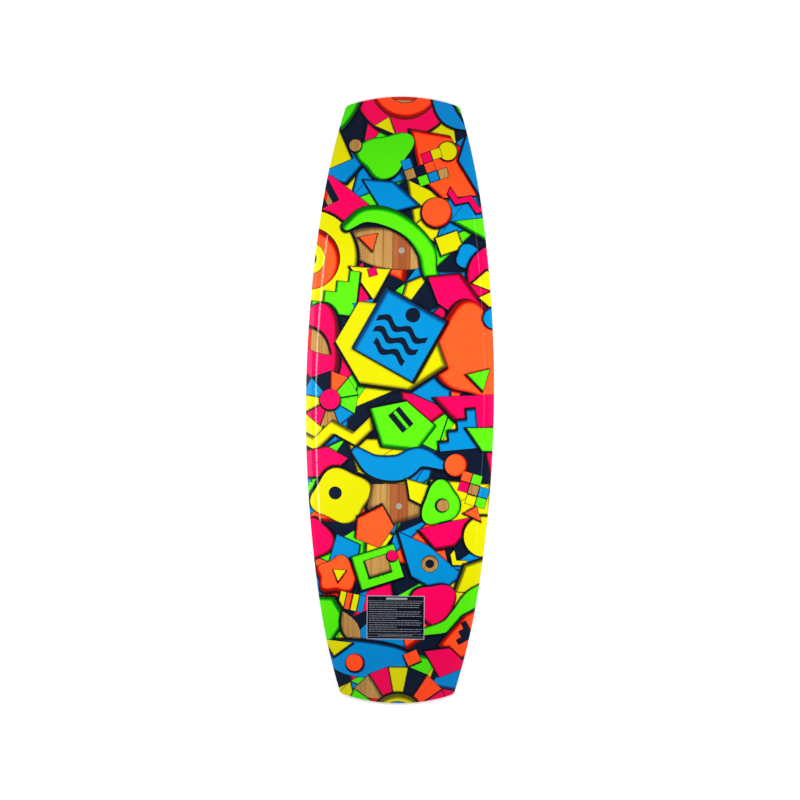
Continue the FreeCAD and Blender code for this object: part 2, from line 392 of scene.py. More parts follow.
def stripes(x, y, inks, wide, tall, turn):
    """Bars of different inks side by side."""
    for i, ink in enumerate(inks):
        (at,) = placed(x, y, turn, [(i * wide, 0)])
        block(ink, *at, wide, tall, turn)


def stairs(ink, x, y, step, count, turn, under=None):
    """A flight of steps, seen from the side."""
    climb = [((i + k) * step, (i + 1) * step) for i in range(count) for k in (0, 1)]
    polygon(ink, *placed(x, y, turn, [(0, 0), *climb, (count * step, 0)]), under=under)


def zigzag(ink, x, y, pitch, swing, half, count, turn, under=None):
    """A band that goes to and fro in straight lines."""
    middle = [(i * pitch, swing * (-1) ** i) for i in range(count + 1)]
    corners = [(u, v + half) for u, v in middle] + [(u, v - half) for u, v in middle[::-1]]
    polygon(ink, *placed(x, y, turn, corners), under=under)


def nose_tip():
    rings(4, 722, ("pink", "orange", "wood", "navy"), (118, 80, 42, 26), under=(270, 10))
    leaf("green", -172, 586, -84, 716, 40, 14, under=(320, 9))
    leaf("blue", 62, 716, 176, 618, 8, 40, under=(230, 9))
    polygon("green", (96, 712), (170, 700), (172, 610), (140, 640), under=(220, 7))
    polygon("yellow", (-66, 628), (-30, 650), (-14, 606), under=(270, 6))


def nose_middle():
    polygon("orange", (16, 622), (110, 606), (180, 470), (92, 462), (40, 510), under=(200, 10))
    polygon("blue", (150, 620), (220, 610), (220, 474), (176, 470), (128, 548), under=(180, 8))
    disc("yellow", 104, 572, 23, under=(250, 6))
    blob("green", -40, 562, 132, 96, 25, [(3, 0.17, 40)], under=(270, 10))
    polygon("blue", (-220, 610), (-138, 600), (-92, 536), (-128, 494), (-220, 520), under=(300, 9))
    stairs("yellow", -188, 518, 20, 4, 24, under=(60, 7))
    disc("wood", -108, 582, 15, under=(270, 5))
    tiles(10, 540, 24, 20, ["B.PY", "WNO.", ".GBW"])


def upper_left():
    polygon("pink", (-240, 528), (-160, 512), (-74, 446), (-106, 388), (-240, 376), under=(280, 10))
    stripes(-190, 464, ("navy", "wood", "navy"), 15, 58, 28)
    polygon("blue", (-92, 506), (-16, 500), (44, 446), (-40, 424), under=(270, 8))
    blob("wood", -30, 346, 184, 104, -14, [(2, 0.12, 30)])
    rings(-212, 322, ("yellow", "orange", "yellow", "navy"), (112, 72, 38, 18), under=(20, 10))
    band = [(-126, 398, 12), (-84, 424, 19), (-30, 418, 22), (22, 388, 20), (56, 344, 21), (66, 292, 17)]
    ribbon("green", [*band, (100, 258, 12)], under=(250, 10))
    polygon("orange", (-100, 372), (-54, 382), (-66, 338), under=(240, 6))
    polygon("yellow", (-120, 306), (-22, 300), (-62, 226), under=(230, 8))
    block("pink", -66, 292, 22, 20, 16)


def upper_right():
    disc("orange", 80, 430, 35, under=(230, 9))
    zigzag("pink", 104, 474, 26, 9, 9, 5, -22, under=(250, 6))
    polygon("green", (112, 410), (220, 424), (200, 362), under=(240, 7))
    block("yellow", 110, 360, 56, 44, 20, under=(200, 7))
    blob("blue", 158, 328, 72, 54, -20, [(3, 0.14, 0)], under=(220, 7))
    disc("pink", 226, 284, 76, under=(180, 9))
    polygon("yellow", (160, 268), (196, 300), (236, 290), (236, 240), under=(160, 6))


def beside_badge():
    stairs("green", -208, 200, 26, 4, -6, under=(300, 8))
    blob("pink", -196, 128, 128, 176, 6, [(3, 0.14, 160)], under=(20, 9))
    leaf("wood", -230, 170, -160, 100, 20, 24, under=(60, 8))
    polygon("blue", (-112, 220), (-60, 232), (-88, 176))
    polygon("pink", (60, 284), (138, 292), (196, 214), (152, 176), (84, 222), under=(200, 9))
    blob("orange", 154, 112, 150, 232, 14, [(3, 0.12, 200), (2, 0.06, 0)], under=(200, 11))
    polygon("yellow", (176, 236), (230, 262), (230, 190), under=(200, 7))
    disc("blue", 214, 190, 26, under=(200, 6))
    polygon("green", (150, 60), (206, 74), (190, 20), under=(200, 7))


def middle():
    polygon("yellow", (-96, 226), (-150, 132), (-92, 36), (24, 22), (108, 78), (60, 210), under=(260, 12))
    block("blue", -4, 150, 160, 160, -29, under=(330, 12))
    badge(-4, 150, -29)


def badge(x, y, turn):
    """A plain water motif on the blue block: three waves under a small disc."""
    half, swing, pitch = 7.5, 7, 27
    for level, wide in ((14, 62), (-16, 56), (-46, 42)):
        across = np.linspace(-wide, wide, 25)
        rise = level + swing * np.sin(across / pitch * math.pi)
        top, low = list(zip(across, rise + half)), list(zip(across, rise - half))
        ends = (0, 24, 25, 49)
        points = placed(x, y, turn, top + low[::-1])
        shape("navy", [(*p, 1) if i in ends else p for i, p in enumerate(points)], line=0)
    (sun,) = placed(x, y, turn, [(6, 54)])
    disc("navy", *sun, 17, line=0)


def lower_left():
    inks = ("green", "orange", "navy", "blue", "yellow", "pink", "wood", "blue", "green")
    fan(-160, 0, inks, 10, 40, 17, 66)
    disc("pink", -160, 0, 24, under=(270, 7))
    zigzag("yellow", -240, -92, 46, 17, 17, 4, 8, under=(280, 9))
    polygon("pink", (-240, -122), (-168, -106), (-116, -134), (-160, -176), (-240, -180), under=(300, 8))
    stripes(-202, -210, ("green", "navy", "orange"), 16, 44, -6)
    blob("yellow", -132, -220, 136, 122, 10, [(4, 0.09, 30)], under=(120, 11))
    disc("navy", -146, -214, 15)


def lower_middle():
    polygon("green", (-70, -20), (16, -2), (84, -60), (40, -118), (-40, -110), under=(150, 10))
    stripes(-6, -52, ("navy", "green", "navy"), 11, 52, 40)
    wave = [(-98, -118, 12), (-56, -150, 26), (-2, -154, 30), (46, -130, 24), (100, -148, 11)]
    ribbon("blue", wave, under=(260, 10))
    polygon("wood", (-64, -192), (40, -190), (64, -262), (-26, -292), (-74, -248))
    polygon("yellow", (16, -178), (80, -196), (112, -270), (24, -226), under=(240, 9))
    polygon("orange", (-96, -270), (-38, -240), (-10, -290), (-44, -340), (-100, -318), under=(100, 8))


def lower_right():
    polygon("pink", (74, 8), (236, 16), (236, -60), (168, -84), (116, -38), under=(250, 9))
    stairs("blue", 92, -118, 23, 4, 6, under=(160, 8))
    polygon("green", (150, -62), (236, -60), (236, -118), (188, -116), under=(200, 8))
    disc("orange", 130, -148, 27, under=(240, 8))
    tiles(154, -174, 24, -16, ["OG.", "PWB", ".YG"])
    blob("green", 96, -236, 84, 104, -20, [(3, 0.13, 0)], under=(160, 9))
    disc("wood", 100, -240, 15, under=(200, 5))
    polygon("pink", (44, -296), (118, -276), (190, -262), (128, -334), (84, -342), under=(230, 9))
    disc("yellow", 196, -310, 48, under=(160, 9))
    polygon("orange", (146, -258), (178, -240), (190, -278), under=(200, 5))


def tail_left():
    blob("pink", -192, -322, 84, 96, -10, [(3, 0.12, 0)], under=(20, 8))
    polygon("blue", (-160, -372), (-142, -306), (-88, -330), (-96, -378), under=(290, 7))
    blob("orange", -138, -402, 100, 84, 12, [(5, 0.12, 0)], under=(290, 9))
    polygon("yellow", (-150, -388), (-118, -390), (-138, -418), under=(270, 5))
    block("green", -48, -382, 104, 82, 18, under=(250, 10))
    block("wood", -46, -380, 54, 42, 18, under=(240, 5))
    disc("pink", -14, -356, 13, under=(240, 5))
    stripes(-128, -458, ("yellow", "orange", "yellow", "blue"), 15, 40, -12)
    polygon("green", (-210, -450), (-146, -452), (-116, -500), (-156, -560), (-210, -540), under=(40, 9))
    leaf("wood", -128, -482, -84, -566, 18, 22, under=(200, 8))


def tail_right():
    polygon("blue", (-2, -300), (70, -332), (150, -400), (96, -440), (30, -404), under=(190, 10))
    rings(72, -374, ("wood", "navy"), (20, 10))
    zigzag("yellow", 118, -352, 20, 8, 8, 4, -40, under=(220, 6))
    polygon("yellow", (128, -438), (150, -376), (206, -356), (196, -440), under=(160, 8))
    blob("pink", 84, -466, 100, 96, -20, [(3, 0.14, 180)], under=(160, 9))
    band = [(206, -424, 14), (170, -452, 20), (140, -490, 18), (112, -516, 15), (60, -530, 9)]
    ribbon("green", band, under=(220, 9))
    polygon("orange", (206, -462), (150, -492), (92, -560), (130, -592), (206, -580), under=(190, 9))
    stairs("navy", 140, -560, 14, 3, 30)


def tail_tip():
    blob("blue", -74, -592, 204, 84, -4, [(3, 0.08, 60)], under=(100, 10))
    polygon("yellow", (-172, -548), (-100, -556), (-146, -590), under=(270, 7))
    disc("orange", -98, -602, 21, under=(290, 7))
    polygon("pink", (60, -574), (120, -566), (164, -608), (96, -636), under=(120, 8))
    inks = ("green", "pink", "orange", "navy", "yellow", "pink", "wood", "green", "orange")
    fan(2, -732, inks, -9, 22, 20, 124)
    rings(2, -734, ("yellow", "blue"), (62, 44), under=(90, 8))
    block("orange", 34, -590, 34, 30, 24, under=(250, 6))


ZONES = (
    patchwork,
    nose_tip,
    nose_middle,
    upper_left,
    upper_right,
    beside_badge,
    middle,
    lower_left,
    lower_middle,
    lower_right,
    tail_left,
    tail_right,
    tail_tip,
)


# ---- Cutting the art into pieces ----

GRID = 4.5
EDGE_CLEAR = 1.5
LEAST_AREA, WELD = 1e-6, 1e-4
GOLDEN_SHARE = 0.618034
UNDER_SHIFT, RIM_SHIFT, RIM_STRENGTH, UNDER_SOFTNESS = 0.42, 0.45, 0.75, 0.95
RIDGES = (0.0, 0.4, 0.9)
PLUGS = ("nose_index_plug", "tail_index_plug")


def circle(x, y, radius, step=2.0):
    return counter_clockwise(np.array(arc_points(x, y, radius, 0, 2 * math.pi, step)[:-1]))


def plug_circles():
    edges = []
    for node in PLUGS:
        low, high = box_mm(node)
        edges.append(circle((low[0] + high[0]) / 2, (low[1] + high[1]) / 2, (high[0] - low[0]) / 2))
    return edges


def cut_flat(outer, loops, extra):
    """Triangles over the flat region inside outer, split along every loop."""
    points, edges = [], []
    for loop in [outer, *loops]:
        start = len(points)
        points += [Vector((float(x), float(y))) for x, y in loop]
        edges += [(start + i, start + (i + 1) % len(loop)) for i in range(len(loop))]
    points += [Vector((float(x), float(y))) for x, y in extra]
    verts, _, faces, *_ = delaunay_2d_cdt(points, edges, [], 0, WELD)
    verts = np.array([tuple(v) for v in verts])
    faces = np.array([f for f in faces if len(f) == 3])
    centre = verts[faces].mean(axis=1)
    a, b, c = (verts[faces[:, k]] for k in range(3))
    area = (b[:, 0] - a[:, 0]) * (c[:, 1] - a[:, 1]) - (b[:, 1] - a[:, 1]) * (c[:, 0] - a[:, 0])
    faces[area < 0] = faces[area < 0][:, ::-1]
    keep = np.zeros(len(faces), bool)
    for chunk in np.array_split(np.arange(len(faces)), max(1, len(faces) // CHUNK)):
        keep[chunk] = inside(outer, centre[chunk])
    keep &= np.abs(area) > LEAST_AREA
    return verts, faces[keep], centre[keep]


def clear_of_edge(pts):
    """Which of pts stand off the board's side edges."""
    return half_width(pts[:, 1]) - np.abs(pts[:, 0]) > EDGE_CLEAR


def grid_points(outer, step):
    """Points in staggered rows over outer, clear of the board's edges."""
    low, high = outer.min(0), outer.max(0)
    xs = np.arange(low[0] + step / 2, high[0], step)
    ys = np.arange(low[1] + step / 2, high[1], step)
    x, y = np.meshgrid(xs, ys)
    x = x + np.where(np.arange(len(ys)) % 2, step / 2, 0)[:, None]
    pts = np.stack([x.ravel(), y.ravel()], axis=1)
    return pts[clear_of_edge(pts)]


def owner_of(centre, shapes):
    """The index of the topmost shape over each point, and whether it is in its outline."""
    owner = np.full(len(centre), -1)
    in_line = np.zeros(len(centre), bool)
    for k in range(len(shapes) - 1, -1, -1):
        s = shapes[k]
        free = np.flatnonzero((owner == -1) & near(s["poly"], centre, 0))
        hit = free[inside(s["poly"], centre[free])]
        owner[hit] = k
        if s["line"] and len(hit):
            in_line[hit] = ~inside(s["core"], centre[hit])
    return owner, in_line


def fade(value):
    """A soft step from 0 to 1."""
    value = np.clip(value, 0, 1)
    return value * value * (3 - 2 * value)


def shade_at(pts, own, shapes):
    """How dark the airbrushing is at pts, which all belong to the shape number own."""
    dark = np.zeros(len(pts))
    for s in shapes[own + 1 :]:
        if not s["under"]:
            continue
        moved, blur = shadow_of(s)
        at = np.flatnonzero(near(moved, pts, blur))
        if len(at):
            gap = np.where(inside(moved, pts[at]), 0, distance(moved, pts[at]))
            dark[at] = np.maximum(dark[at], fade(1 - gap / blur))
    if own >= 0 and shapes[own]["rim"]:
        moved, blur = lit_part_of(shapes[own])
        depth = np.where(inside(moved, pts), distance(moved, pts), 0)
        dark = np.maximum(dark, RIM_STRENGTH * fade(1 - depth / blur))
    return dark


def shadow_of(s):
    """The shape's shadow and how far its edge is blurred."""
    side, reach = s["under"]
    reach *= UNDER_SOFTNESS
    return s["poly"] + towards(side, UNDER_SHIFT * reach), (1 - UNDER_SHIFT) * reach


def lit_part_of(s):
    """What the dark rim leaves lit, and how far its edge is blurred."""
    side, reach = s["rim"]
    return s["poly"] - towards(side, RIM_SHIFT * reach), (1 - RIM_SHIFT) * reach


def tone_of(own):
    """A small fixed brightness step, so that two shapes of one ink differ a little."""
    return (own * GOLDEN_SHARE) % 1.0


def shading_points():
    """Extra points where the airbrushing changes, so that the mesh can carry it."""
    extra = []
    for s in ART:
        if s["under"]:
            moved, blur = shadow_of(s)
            extra += [drawn_in(moved[::2], -share * blur) for share in RIDGES]
        if s["rim"]:
            moved, blur = lit_part_of(s)
            extra += [drawn_in(moved[::2], share * blur) for share in RIDGES]
    return extra


def inks_at(centre, owner, in_line, wall, plugs):
    """The ink, or the clear part's name, at every triangle."""
    ink = np.array([ART[k]["ink"] if k >= 0 else "navy" for k in owner], dtype="U12")
    ink[in_line] = "line"
    clear = ink == "wood"
    ink[clear & ~inside_chunks(wall, centre)] = "rim"
    for edge in plugs:
        ink[clear & inside_chunks(edge, centre)] = "plug"
    return ink


def shades_at(verts, faces, owner, in_line):
    """Each triangle corner's darkness and each triangle's tone."""
    shade = np.zeros((len(faces), 3, 2))
    for k in np.unique(owner):
        mine = np.flatnonzero((owner == k) & ~in_line)
        if not len(mine):
            continue
        used, back = np.unique(faces[mine], return_inverse=True)
        dark = shade_at(verts[used], k, ART)
        shade[mine, :, 0] = dark[back].reshape(-1, 3)
        shade[mine, :, 1] = tone_of(k)
    return shade


def print_base():
    """Builds every ink's piece from the art."""
    board, wall, plugs = outline(), outline(SIDEWALL), plug_circles()
    for zone in ZONES:
        zone()
    for s in ART:
        s["core"] = drawn_in(s["poly"], s["line"]) if s["line"] else s["poly"]
    loops = [wall, *plugs] + [s["poly"] for s in ART] + [s["core"] for s in ART if s["line"]]
    extra = np.concatenate([grid_points(board, GRID), *shading_points()])
    extra = extra[clear_of_edge(extra) & (np.abs(extra[:, 1]) < HALF_LENGTH)]
    verts, faces, centre = cut_flat(board, loops, extra)
    owner, in_line = owner_of(centre, ART)
    ink = inks_at(centre, owner, in_line, wall, plugs)
    shade = shades_at(verts, faces, owner, in_line)
    pieces = {}
    for name in np.unique(ink):
        mine = ink == name
        pieces[str(name)] = lifted_piece(f"base_print_{name}", verts, faces[mine], shade[mine], 0.0, -SHEET)
    return pieces


def inside_chunks(poly, pts):
    """inside() for many points, a few thousand at a time, to save memory."""
    out = np.zeros(len(pts), bool)
    at = np.flatnonzero(near(poly, pts, 0))
    for chunk in np.array_split(at, max(1, len(at) // CHUNK)):
        out[chunk] = inside(poly, pts[chunk])
    return out


def lifted_piece(name, verts, faces, shade, top, bottom):
    """A closed piece: flat triangles lifted onto the curved base, between two offsets."""
    used, back = np.unique(faces, return_inverse=True)
    tri = back.reshape(-1, 3)
    xy = verts[used]
    n = len(xy)
    z = base_height(xy[:, 0], xy[:, 1])
    co = np.concatenate([np.column_stack([xy, z + top]), np.column_stack([xy, z + bottom])])
    rim = rim_edges(tri)
    polys = [list(t) for t in tri] + [[t[0] + n, t[2] + n, t[1] + n] for t in tri]
    polys += [[b, a, a + n, b + n] for a, b in rim]
    mesh = bpy.data.meshes.new(name)
    mesh.from_pydata((co * MM).tolist(), [], polys)
    normals = base_normals(xy[:, 0], xy[:, 1])
    loops = [tuple(normals[v]) for v in tri.ravel()]
    loops += [tuple(-normals[v]) for t in tri for v in (t[0], t[2], t[1])]
    for a, b in rim:
        d = xy[b] - xy[a]
        out = Vector((d[1], -d[0], 0)).normalized()
        loops += [tuple(out)] * 4
    mesh.polygons.foreach_set("use_smooth", [True] * len(polys))
    mesh.normals_split_custom_set(loops)
    colour = np.zeros((len(loops), 4), np.float32)
    colour[:, 3] = 1
    if shade is not None:
        colour[: len(tri) * 3, :2] = shade.reshape(-1, 2)
    layer = mesh.color_attributes.new("print", "FLOAT_COLOR", "CORNER")
    layer.data.foreach_set("color", colour.ravel())
    obj = bpy.data.objects.new(name, mesh)
    bpy.context.scene.collection.objects.link(obj)
    return obj


def rim_edges(tri):
    """The directed edges that only one triangle has."""
    edges = np.concatenate([tri[:, [0, 1]], tri[:, [1, 2]], tri[:, [2, 0]]])
    have = set(map(tuple, edges.tolist()))
    return [e for e in have if (e[1], e[0]) not in have]


# ---- Node materials ----


def set_ramp(node, stops):
    """Gives a colour ramp its stops, each a place and a colour."""
    first, last = node.color_ramp.elements
    for element, (place, colour) in zip((first, last), (stops[0], stops[-1])):
        element.position, element.color = place, colour
    for place, colour in stops[1:-1]:
        node.color_ramp.elements.new(place).color = colour


class Graph:
    """A material's nodes, with short calls to add and join them."""

    def __init__(self, name):
        self.material = bpy.data.materials.new(name)
        self.material.use_nodes = True
        self.tree = self.material.node_tree
        self.shader = self.tree.nodes["Principled BSDF"]

    def add(self, kind, inputs=(), **settings):
        node = self.tree.nodes.new("ShaderNode" + kind)
        for key, value in settings.items():
            setattr(node, key, value)
        for key, value in dict(inputs).items():
            self.put(node.inputs[key], value)
        return node

    def put(self, socket, value):
        if isinstance(value, bpy.types.NodeSocket):
            self.tree.links.new(value, socket)
        else:
            socket.default_value = value

    def math(self, operation, a, b=0.0, c=0.0, clamp=False):
        node = self.add("Math", {0: a, 1: b, 2: c}, operation=operation, use_clamp=clamp)
        return node.outputs[0]

    def position(self, sx=1.0, sy=1.0, sz=1.0):
        where = self.add("TexCoord").outputs["Object"]
        scaled = self.add("Mapping", {"Vector": where, "Scale": (sx, sy, sz)})
        return scaled.outputs["Vector"]

    def noise(self, sx, sy, sz, detail=3.0, rough=0.5):
        inputs = {"Vector": self.position(sx, sy, sz), "Scale": 1.0, "Detail": detail, "Roughness": rough}
        return self.add("TexNoise", inputs).outputs["Fac"]

    def mix(self, factor, a, b, blend="MIX"):
        node = self.add("Mix", data_type="RGBA", blend_type=blend)
        self.put(node.inputs["Factor"], factor)
        self.put(node.inputs["A"], a)
        self.put(node.inputs["B"], b)
        return node.outputs["Result"]

    def ramp(self, factor, stops):
        node = self.add("ValToRGB", {"Fac": factor})
        set_ramp(node, stops)
        return node.outputs["Color"]

    def spread(self, factor, low, high):
        return self.add("MapRange", {"Value": factor, "To Min": low, "To Max": high}).outputs[0]

    def bump(self, height, distance_mm, strength=1.0):
        inputs = {"Height": height, "Distance": distance_mm * MM, "Strength": strength}
        return self.add("Bump", inputs).outputs["Normal"]

    def finish(self, **sockets):
        for key, value in sockets.items():
            self.put(self.shader.inputs[key.replace("_", " ")], value)
        return self.material


def srgb(r, g, b):
    """A colour given as on a screen, 0 to 255, in linear light."""
    shares = [c / 255 for c in (r, g, b)]
    return (*(c / 12.92 if c <= 0.04045 else ((c + 0.055) / 1.055) ** 2.4 for c in shares), 1.0)


INKS = {
    "pink": ((255, 0, 96), (206, 0, 58), (32, 4, 20)),
    "green": ((96, 240, 15), (14, 186, 0), (5, 27, 10)),
    "orange": ((255, 97, 40), (250, 24, 0), (48, 5, 7)),
    "yellow": ((235, 231, 0), (178, 168, 0), (22, 22, 7)),
    "blue": ((0, 146, 214), (0, 102, 176), (4, 16, 36)),
    "navy": ((12, 25, 47), (9, 18, 38), (4, 9, 21)),
}
# Painted shade towards the tips: how dark it gets, and where along the board it starts and ends, in metres.
TIP_PAINTED_SHADE, TIP_SHADE_FROM, TIP_SHADE_TO = 0.2, 0.28, 0.68
BLACK_INK = srgb(10, 14, 26)
PLUG_GREYS = srgb(150, 146, 138), srgb(176, 172, 162)


def airbrush_and_painted_shade(g):
    """The shading painted into the print, with the spray's grain at its edges.

    It also adds painted shade: the inks deepen a little towards both tips, standing in for the light that
    falls off where the rocker turns the base away.
    """
    parts = g.add("SeparateColor", {"Color": g.add("Attribute", attribute_name="print").outputs["Color"]})
    dark, tone = parts.outputs["Red"], parts.outputs["Green"]
    speckle = g.noise(1500, 1500, 1500, detail=1.0)
    loose = g.math("MULTIPLY", g.math("MULTIPLY", dark, g.math("SUBTRACT", 1.0, dark)), 2.4)
    dark = g.math("MULTIPLY_ADD", g.math("SUBTRACT", speckle, 0.5), loose, dark, clamp=True)
    # Painted shade: darker towards both tips, where the base curves up and away from the light.
    along = g.math("ABSOLUTE", g.add("SeparateXYZ", {"Vector": g.position()}).outputs["Y"])
    limits = {"Value": along, "From Min": TIP_SHADE_FROM, "From Max": TIP_SHADE_TO, "To Max": TIP_PAINTED_SHADE}
    tip_shade = g.add("MapRange", limits, interpolation_type="SMOOTHSTEP").outputs[0]
    return g.math("MAXIMUM", dark, tip_shade), tone


def clear_gloss(g, colour, bump_height=None, roughness=0.34):
    """Ends a material of the base: a clear, slightly rippled, lightly scuffed gloss coat."""
    ripple = g.noise(26, 18, 26, detail=1.0)
    scuff = g.noise(900, 22, 300, detail=4.0, rough=0.65)
    marks = g.spread(g.math("POWER", scuff, 4.0), 0.0, 1.0)
    height = g.math("MULTIPLY_ADD", marks, 0.12, g.math("MULTIPLY", ripple, 0.9))
    if bump_height is not None:
        height = g.math("ADD", height, bump_height)
    normal = g.bump(height, 0.25, 0.18)
    return g.finish(
        Base_Color=colour,
        Roughness=g.spread(g.noise(60, 60, 60), roughness - 0.05, roughness + 0.08),
        Specular_IOR_Level=0.05,
        Coat_Weight=1.0,
        Coat_Roughness=0.03,
        Coat_IOR=1.45,
        Normal=normal,
        Coat_Normal=normal,
    )


def ink_material(ink):
    base, deep, dark_end = (srgb(*c) for c in INKS[ink])
    g = Graph(f"ink_{ink}")
    dark, tone = airbrush_and_painted_shade(g)
    colour = g.ramp(dark, [(0.0, base), (0.4, deep), (0.85, dark_end)])
    cloth = g.noise(420, 14, 60, detail=2.0)
    mottle = g.noise(9, 9, 9, detail=2.0)
    light = g.math("ADD", g.spread(tone, 0.965, 1.02), g.spread(cloth, -0.03, 0.03))
    light = g.math("ADD", light, g.spread(mottle, -0.03, 0.03))
    shade = g.add("CombineColor", {"Red": light, "Green": light, "Blue": light}).outputs["Color"]
    return clear_gloss(g, g.mix(1.0, colour, shade, "MULTIPLY"))


def line_material():
    g = Graph("ink_line")
    grain = g.noise(700, 700, 700, detail=2.0)
    return clear_gloss(g, g.mix(grain, BLACK_INK, srgb(22, 26, 38)))


WOODS = {
    "light": ((208, 162, 92), (194, 146, 78), (168, 118, 60)),
    "dark": ((190, 142, 76), (174, 126, 65), (150, 102, 52)),
    "red": ((186, 108, 60), (170, 92, 48), (142, 72, 38)),
}


def wood_colour(g, kind):
    """Straight grain along the board: broad bands, fine fibres and short dark pores."""
    light, mid, dark = (srgb(*c) for c in WOODS[kind])
    bands = g.noise(150, 2.2, 20, detail=3.0, rough=0.55)
    fibres = g.noise(1900, 16, 200, detail=3.0, rough=0.6)
    pores = g.math("GREATER_THAN", g.noise(1300, 60, 300, detail=1.0), 0.7)
    streaks = g.math("MULTIPLY_ADD", g.math("SUBTRACT", fibres, 0.5), 0.45, bands, clamp=True)
    body = g.ramp(streaks, [(0.22, dark), (0.45, mid), (0.68, light)])
    body = g.mix(g.math("MULTIPLY", pores, 0.35), body, dark)
    return body, fibres


def window_colour(g):
    """The core as it shows through the clear parts: strips, their joints and the stringer."""
    place = g.add("SeparateXYZ", {"Vector": g.position()})
    x, y = place.outputs["X"], place.outputs["Y"]
    across = g.math("DIVIDE", x, STRIP * MM)
    number = g.math("FLOOR", across)
    pick = g.add("TexWhiteNoise", {"W": number}, noise_dimensions="1D").outputs["Value"]
    light, fibres = wood_colour(g, "light")
    dark, _ = wood_colour(g, "dark")
    red, _ = wood_colour(g, "red")
    core = g.mix(pick, light, dark)
    middle = g.math("LESS_THAN", g.math("ABSOLUTE", x), STRINGER_HALF_WIDTH * MM)
    short = g.math("LESS_THAN", g.math("ABSOLUTE", y), STRINGER_END * MM)
    core = g.mix(g.math("MULTIPLY", middle, short), core, red)
    off = g.math("ABSOLUTE", g.math("SUBTRACT", across, g.math("ROUND", across)))
    joint_half, joint_fade = 0.35 / STRIP, 1.3 / STRIP
    limits = {"Value": off, "From Min": joint_half, "From Max": joint_fade, "To Min": 0.45, "To Max": 0.0}
    joint = g.add("MapRange", limits).outputs[0]
    at_middle = g.math("LESS_THAN", g.math("ABSOLUTE", across), 0.5)
    joint = g.math("MULTIPLY", joint, g.math("SUBTRACT", 1.0, at_middle))
    return g.mix(joint, core, srgb(92, 54, 26)), fibres


def window_material():
    g = Graph("clear_over_wood")
    dark, _ = airbrush_and_painted_shade(g)
    colour, fibres = window_colour(g)
    return clear_gloss(g, g.mix(dark, colour, BLACK_INK), g.math("MULTIPLY", fibres, 0.08))


def rim_material():
    g = Graph("clear_over_sidewall")
    dark, _ = airbrush_and_painted_shade(g)
    mottle = g.noise(80, 30, 80, detail=3.0)
    red = g.mix(mottle, srgb(236, 44, 18), srgb(206, 26, 12))
    return clear_gloss(g, g.mix(dark, red, BLACK_INK))


def plug_window_material():
    g = Graph("clear_over_plug")
    dark, _ = airbrush_and_painted_shade(g)
    grain = g.noise(300, 300, 300, detail=3.0)
    grey = g.mix(grain, *PLUG_GREYS)
    return clear_gloss(g, g.mix(dark, grey, BLACK_INK))


def core_material(kind):
    g = Graph(f"core_{kind}")
    colour, fibres = wood_colour(g, kind)
    return g.finish(
        Base_Color=colour,
        Roughness=g.spread(fibres, 0.5, 0.7),
        Normal=g.bump(fibres, 0.1, 0.4),
    )


def sidewall_material():
    g = Graph("cast_sidewall")
    flow = g.noise(40, 12, 60, detail=3.0)
    marks = g.noise(60, 700, 2400, detail=4.0, rough=0.7)
    colour = g.mix(flow, srgb(214, 34, 16), srgb(184, 22, 12))
    return g.finish(
        Base_Color=g.mix(g.spread(g.math("POWER", marks, 5.0), 0.0, 0.5), colour, srgb(232, 96, 80)),
        Roughness=g.spread(marks, 0.28, 0.46),
        Normal=g.bump(marks, 0.06, 0.5),
    )


def laminate_material():
    g = Graph("glass_laminate")
    threads = {"Vector": g.position(), "Scale": 180.0, "Distortion": 0.6}
    weft, warp = (g.add("TexWave", threads, bands_direction=way).outputs["Fac"] for way in "XY")
    weave = g.math("MULTIPLY", weft, warp)
    return g.finish(
        Base_Color=g.mix(weave, srgb(206, 196, 158), srgb(226, 220, 190)),
        Roughness=g.spread(weave, 0.3, 0.5),
        Normal=g.bump(weave, 0.05, 0.5),
    )


def deck_material():
    g = Graph("deck_topsheet")
    mottle = g.noise(12, 12, 12, detail=3.0)
    stipple = g.noise(2600, 2600, 2600, detail=2.0)
    scuff = g.math("POWER", g.noise(240, 30, 200, detail=5.0, rough=0.7), 5.0)
    colour = g.mix(mottle, srgb(17, 31, 56), srgb(24, 41, 70))
    colour = g.mix(g.math("MULTIPLY", scuff, 1.6, clamp=True), colour, srgb(70, 86, 112))
    return g.finish(
        Base_Color=colour,
        Roughness=g.spread(stipple, 0.34, 0.5),
        Specular_IOR_Level=0.45,
        Normal=g.bump(stipple, 0.04, 0.6),
    )


def insert_material():
    g = Graph("turned_steel")
    rings = g.noise(60, 60, 5200, detail=2.0)
    tint = g.mix(rings, srgb(170, 172, 170), srgb(204, 204, 200))
    return g.finish(
        Base_Color=tint,
        Metallic=1.0,
        Roughness=g.spread(rings, 0.22, 0.4),
        Normal=g.bump(rings, 0.02, 0.5),
    )


def plug_material():
    g = Graph("index_plug")
    grain = g.noise(300, 300, 300, detail=3.0)
    return g.finish(
        Base_Color=g.mix(grain, *PLUG_GREYS),
        Roughness=g.spread(grain, 0.5, 0.7),
        Normal=g.bump(grain, 0.05, 0.4),
    )


def label_material(name, low, high):
    g = Graph(name)
    grain = g.noise(500, 500, 500, detail=3.0)
    return g.finish(
        Base_Color=g.mix(grain, low, high),
        Roughness=g.spread(grain, 0.3, 0.45),
        Specular_IOR_Level=0.12,
        Normal=g.bump(grain, 0.01, 0.5),
    )


# ---- Label ----

LABEL_FILM = 0.15
LABEL_BORDER = 1.6
WORD_SHORTEST, WORD_SPREAD, WORD_GAP, WORD_LEAST = 3.0, 6.0, 1.2, 2


def rectangle(x0, y0, x1, y1, step=4.0):
    points = [(x0, y0, 1), (x1, y0, 1), (x1, y1, 1), (x0, y1, 1)]
    return smooth_path(points, step)


